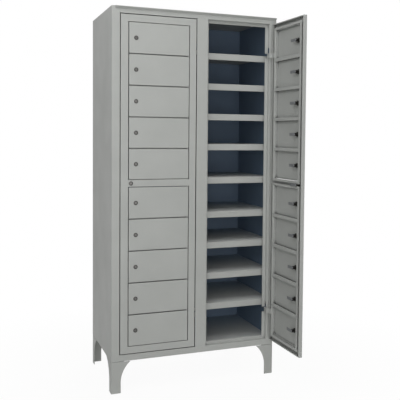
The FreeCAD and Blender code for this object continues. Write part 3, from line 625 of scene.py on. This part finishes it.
BAR_LEVELS = [level for level in SEPARATORS if level != MIDDLE_LEVEL]
for side, width in DOOR_WIDTHS.items():
    free_edge = HINGE_EDGE - width
    field = (free_edge + FRAME_FREE, HINGE_EDGE - FRAME_HINGE)
    half = (FRAME_FREE/2, FRAME_HINGE/2, FRAME_RAIL/2, FRAME_RAIL/2)
    outer = (free_edge, HINGE_EDGE, DOOR_BOTTOM, DOOR_TOP)
    edges = frame_sections(half, (EDGE_LIP, LIP, EDGE_LIP, EDGE_LIP), True)
    sheets = [rim(outer, edges, DOOR_FRONT, SHEET)]
    for low, high in FIELDS:
        window = (field[0] - half[0], field[1] + half[1], low - half[2], high + half[3])
        edges = frame_sections(half, (LOCK_LIP, LIP, LIP, LIP), False)
        sheets.append(rim(window, edges, DOOR_FRONT, SHEET))
        sheets += [upright_pin(low, low + PIN_REACH), upright_pin(high - PIN_REACH, high)]
    back = DOOR_FRONT + DOOR_DEPTH
    line, normals = bent_line([(BAR_FRONT, -BAR_HALF), (back, -BAR_HALF), (back, BAR_HALF),
                               (BAR_FRONT, BAR_HALF)], [DOOR_FOLD, DOOR_FOLD])
    bar = run_of(line, normals, field, *SIDE_VIEW)
    for level in BAR_LEVELS:
        sheets.append(shell([skin + np.array([0, 0, level]) for skin in bar]))
        sheets.append(plate((PIN_X - LUG_HALF, DOOR_FRONT + SHEET, level - LUG_SHEET/2),
                            (field[1], BAR_FRONT, level + LUG_SHEET/2)))
        sheets.append(upright_pin(level - PIN_REACH, level + PIN_REACH))
    door = make_piece(f"master_door_frame_{side}", sheets, side, f"door_{side}", grey_coat)
    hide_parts(f"door_frame_{side}")
    lock_place = (free_edge + MASTER_INSET, DOOR_FRONT, (FIELDS[0][1] + FIELDS[1][0])/2)
    lock = make_piece(f"master_lock_case_{side}", lock_case(lock_place, MASTER_LOCK_LENGTH, SHEET), side,
                      f"door_{side}", dark_reflection_nickel)


# ---- Small doors
# Twenty shallow pans of 1 mm sheet, each turned on two pins on its hinge side, with a cam lock near
# the free edge. Five below the middle rail of each frame and five above it, 1 to 10 from the floor.
LEAF_WIDTHS = {"left": 290.5, "right": 241.5}
SMALL_DEPTH, SMALL_SHEET, PAN_FOLD, LEVEL_GAP = 10.0, 1.0, 2.2, 4.5
LOCK_INSET, SMALL_LOCK_LENGTH = 33.5, 19.6
LEAF_END, DOORS_PER_FIELD = -58.0, 5
PAN_EDGE = [(0, SMALL_DEPTH), (0, 0), (12, 0)]

# the case's light grey, with deeper painted shade in the gaps between the doors
door_coat = powder_coat("small_door_powder_coat", "#a9aba8", "#a4a6a3", "#8b8d8b", 0.5, shade_openness=(0.3, 0.75))

for side, leaf in LEAF_WIDTHS.items():
    for number in range(2*DOORS_PER_FIELD):
        low, high = FIELDS[number//DOORS_PER_FIELD]
        pitch = (high - low)/DOORS_PER_FIELD
        level = low + pitch*(number % DOORS_PER_FIELD + 0.5)
        half = (pitch - LEVEL_GAP)/2
        pan = rim((LEAF_END - leaf, LEAF_END, level - half, level + half), [(PAN_EDGE, [PAN_FOLD])]*4,
                  DOOR_FRONT, SMALL_SHEET, capped=True)
        label = f"{side}_{number + 1:02d}"
        door = make_piece(f"small_door_pan_{label}", [pan], side, f"small_door_{label}", door_coat)
        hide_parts(f"small_door_{label}")
        lock_place = (LEAF_END - leaf + LOCK_INSET, DOOR_FRONT, level)
        lock = make_piece(f"small_lock_case_{label}", lock_case(lock_place, SMALL_LOCK_LENGTH, SMALL_SHEET),
                          side, f"small_door_{label}", dark_reflection_nickel)


# ---- Lock plugs and cams
# The turning half of each lock: a nickel-plated plug with its key slot, painted dark as a reflection
# of dark surroundings but lighter than the bezel, and a zinc-plated cam held by a screw behind.
CAM_DEPTH = 15.0

# painted dark for the dark surroundings that it reflects, and kept a little lighter than the bezels
nickel = plated_metal("nickel_plate_painted_dark", "#5e5d5b", "#72716f", 1.0, 0.28, 0.42)
# with the chalky film that dulls zinc
cam_zinc = plated_metal("cam_zinc_plate", "#7c7e80", "#8e9092", 0.5, 0.45, 0.6)


def coat_node(name, material):
    """Gives a solid of the frame one material, and returns its object."""
    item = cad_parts[name]
    item.data.materials.clear()
    item.data.materials.append(material)
    return item


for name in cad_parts:
    if name.startswith(("small_lock_", "master_lock_")):
        second_coat(coat_node(name, nickel), lambda centre, facing: centre[:, 1] > DOOR_FRONT + CAM_DEPTH,
                    cam_zinc, "left" if "left" in name else "right")


# ---- Inner panels
# Flat sheets inside the case: the back, the partition between the columns, the floor of the lowest
# pigeonholes and the base under it. The back is light grey outside as the rest of the case.
# painted shade: the partition and the back's inner face take the slate grey of the deep pigeonholes
coat_node("partition", painted_shade_slate)
# painted light and shade: the lowest floor takes the decks' coat, lighter at the front and darker behind
coat_node("floor_panel", deck_painted_shade)
coat_node("base_panel", grey_coat)
second_coat(coat_node("back_panel", grey_coat), lambda centre, facing: facing[:, 1] < -0.5, painted_shade_slate)


# ---- Hinge straps
# Cranked straps of 3 mm steel with a rolled barrel, welded to the master doors and painted with them.
for side in DOOR_WIDTHS:
    coat_node(f"hinge_straps_{side}", grey_coat)


# ---- Hinge pins and leg bolts
# Bright zinc-plated steel with a bluish passivated film. The pins stand in ears behind the face, and
# each bolt holds a leg's seat plate under the base.
zinc, tree, place = bare_material("zinc_plated_steel")
# spangle of about 3 mm
spangle = add_node(tree, "ShaderNodeTexVoronoi", {"Vector": place, "Scale": 1/0.003})
film = add_node(tree, "ShaderNodeMix", {
    0: spangle.outputs["Distance"], 6: linear("#a5aab0"), 7: linear("#8f949b")}, data_type="RGBA")
shader = add_node(tree, "ShaderNodeBsdfPrincipled", {
    "Base Color": film.outputs[2], "Metallic": 1.0, "Roughness": 0.38})
add_node(tree, "ShaderNodeOutputMaterial", {"Surface": shader.outputs["BSDF"]})
for name in ("hinge_pins", "leg_bolts"):
    coat_node(name, zinc)


# ---- Floor, backdrop and lights
# A pale floor that fades into a white backdrop, three wide softboxes in front, two above
# and one behind, which the front view doesn't see.
FLOOR_REACH = 30.0

corners = [(x*FLOOR_REACH, y*FLOOR_REACH, 0) for x, y in ((-1, -1), (1, -1), (1, 1), (-1, 1))]
floor_mesh = bpy.data.meshes.new("floor")
floor_mesh.from_pydata(corners, [], [(0, 1, 2, 3)])
floor = bpy.data.objects.new("floor", floor_mesh)
bpy.context.scene.collection.objects.link(floor)


def seen_rays(tree):
    """1 for the rays that see a surface from the camera, in metal or through glass, and 0 for light."""
    rays = add_node(tree, "ShaderNodeLightPath", {})
    seen = rays.outputs["Is Camera Ray"]
    for kind in ("Is Glossy Ray", "Is Transmission Ray"):
        seen = add_node(tree, "ShaderNodeMath", {0: seen, 1: rays.outputs[kind]},
                        operation="MAXIMUM").outputs["Value"]
    return seen


# matt pale paint, whose shadow fades out into plain white between 0.5 and 1.6 m from the middle
pale, tree, place = bare_material("pale_floor")
distance = add_node(tree, "ShaderNodeVectorMath", {0: place}, operation="LENGTH")
fade = add_node(tree, "ShaderNodeMapRange", {
    "Value": distance.outputs["Value"], "From Min": 0.5, "From Max": 1.6, "To Min": 0.95, "To Max": 1.0})
share = add_node(tree, "ShaderNodeMath", {0: seen_rays(tree), 1: fade.outputs["Result"]},
                 operation="MULTIPLY")
matt = add_node(tree, "ShaderNodeBsdfDiffuse", {"Color": linear("#f0f0ee")})
white = add_node(tree, "ShaderNodeEmission", {"Color": (1, 1, 1, 1), "Strength": 1.0})
both = add_node(tree, "ShaderNodeMixShader", {
    0: share.outputs["Value"], 1: matt.outputs["BSDF"], 2: white.outputs["Emission"]})
add_node(tree, "ShaderNodeOutputMaterial", {"Surface": both.outputs["Shader"]})
floor_mesh.materials.append(pale)

# a white room, which gives the object only a little light of its own
world = bpy.data.worlds.new("white_room")
bpy.context.scene.world = world
world.use_nodes = True
tree = world.node_tree
tree.nodes.clear()
strength = add_node(tree, "ShaderNodeMapRange", {"Value": seen_rays(tree), "To Min": 0.06, "To Max": 1.0})
sky = add_node(tree, "ShaderNodeBackground", {
    "Color": (1, 1, 1, 1), "Strength": strength.outputs["Result"]})
add_node(tree, "ShaderNodeOutputWorld", {"Surface": sky.outputs["Background"]})

# place, the point that it faces, side and power, in metres and watts
SOFTBOXES = {
    "front": ((-0.6, -3.4, 2.2), (0.0, 0.0, 1.0), 2.0, 5.0),
    "front_left": ((-2.4, -3.2, 2.2), (0.0, 0.0, 1.0), 2.4, 31.0),
    "front_low": ((-0.6, -3.8, 0.7), (0.0, 0.0, 0.7), 2.0, 43.0),
    "overhead": ((-0.2, -1.7, 4.0), (0.0, 0.0, 0.9), 2.2, 42.0),
    "high_left": ((-1.5, -0.7, 2.9), (-0.41, 0.0, 1.75), 0.8, 13.0),
    "back": ((2.0, 3.4, 2.4), (0.0, 0.0, 1.0), 2.4, 70.0)}
for name, (position, target, size, power) in SOFTBOXES.items():
    lamp = bpy.data.lights.new(f"softbox_{name}", "AREA")
    lamp.shape, lamp.size, lamp.energy = "SQUARE", size, power
    softbox = bpy.data.objects.new(f"softbox_{name}", lamp)
    bpy.context.scene.collection.objects.link(softbox)
    aim = (Vector(position) - Vector(target)).to_track_quat("Z", "Y")
    softbox.matrix_world = Matrix.LocRotScale(Vector(position), aim, None)

bpy.context.scene.view_settings.view_transform = "Standard"
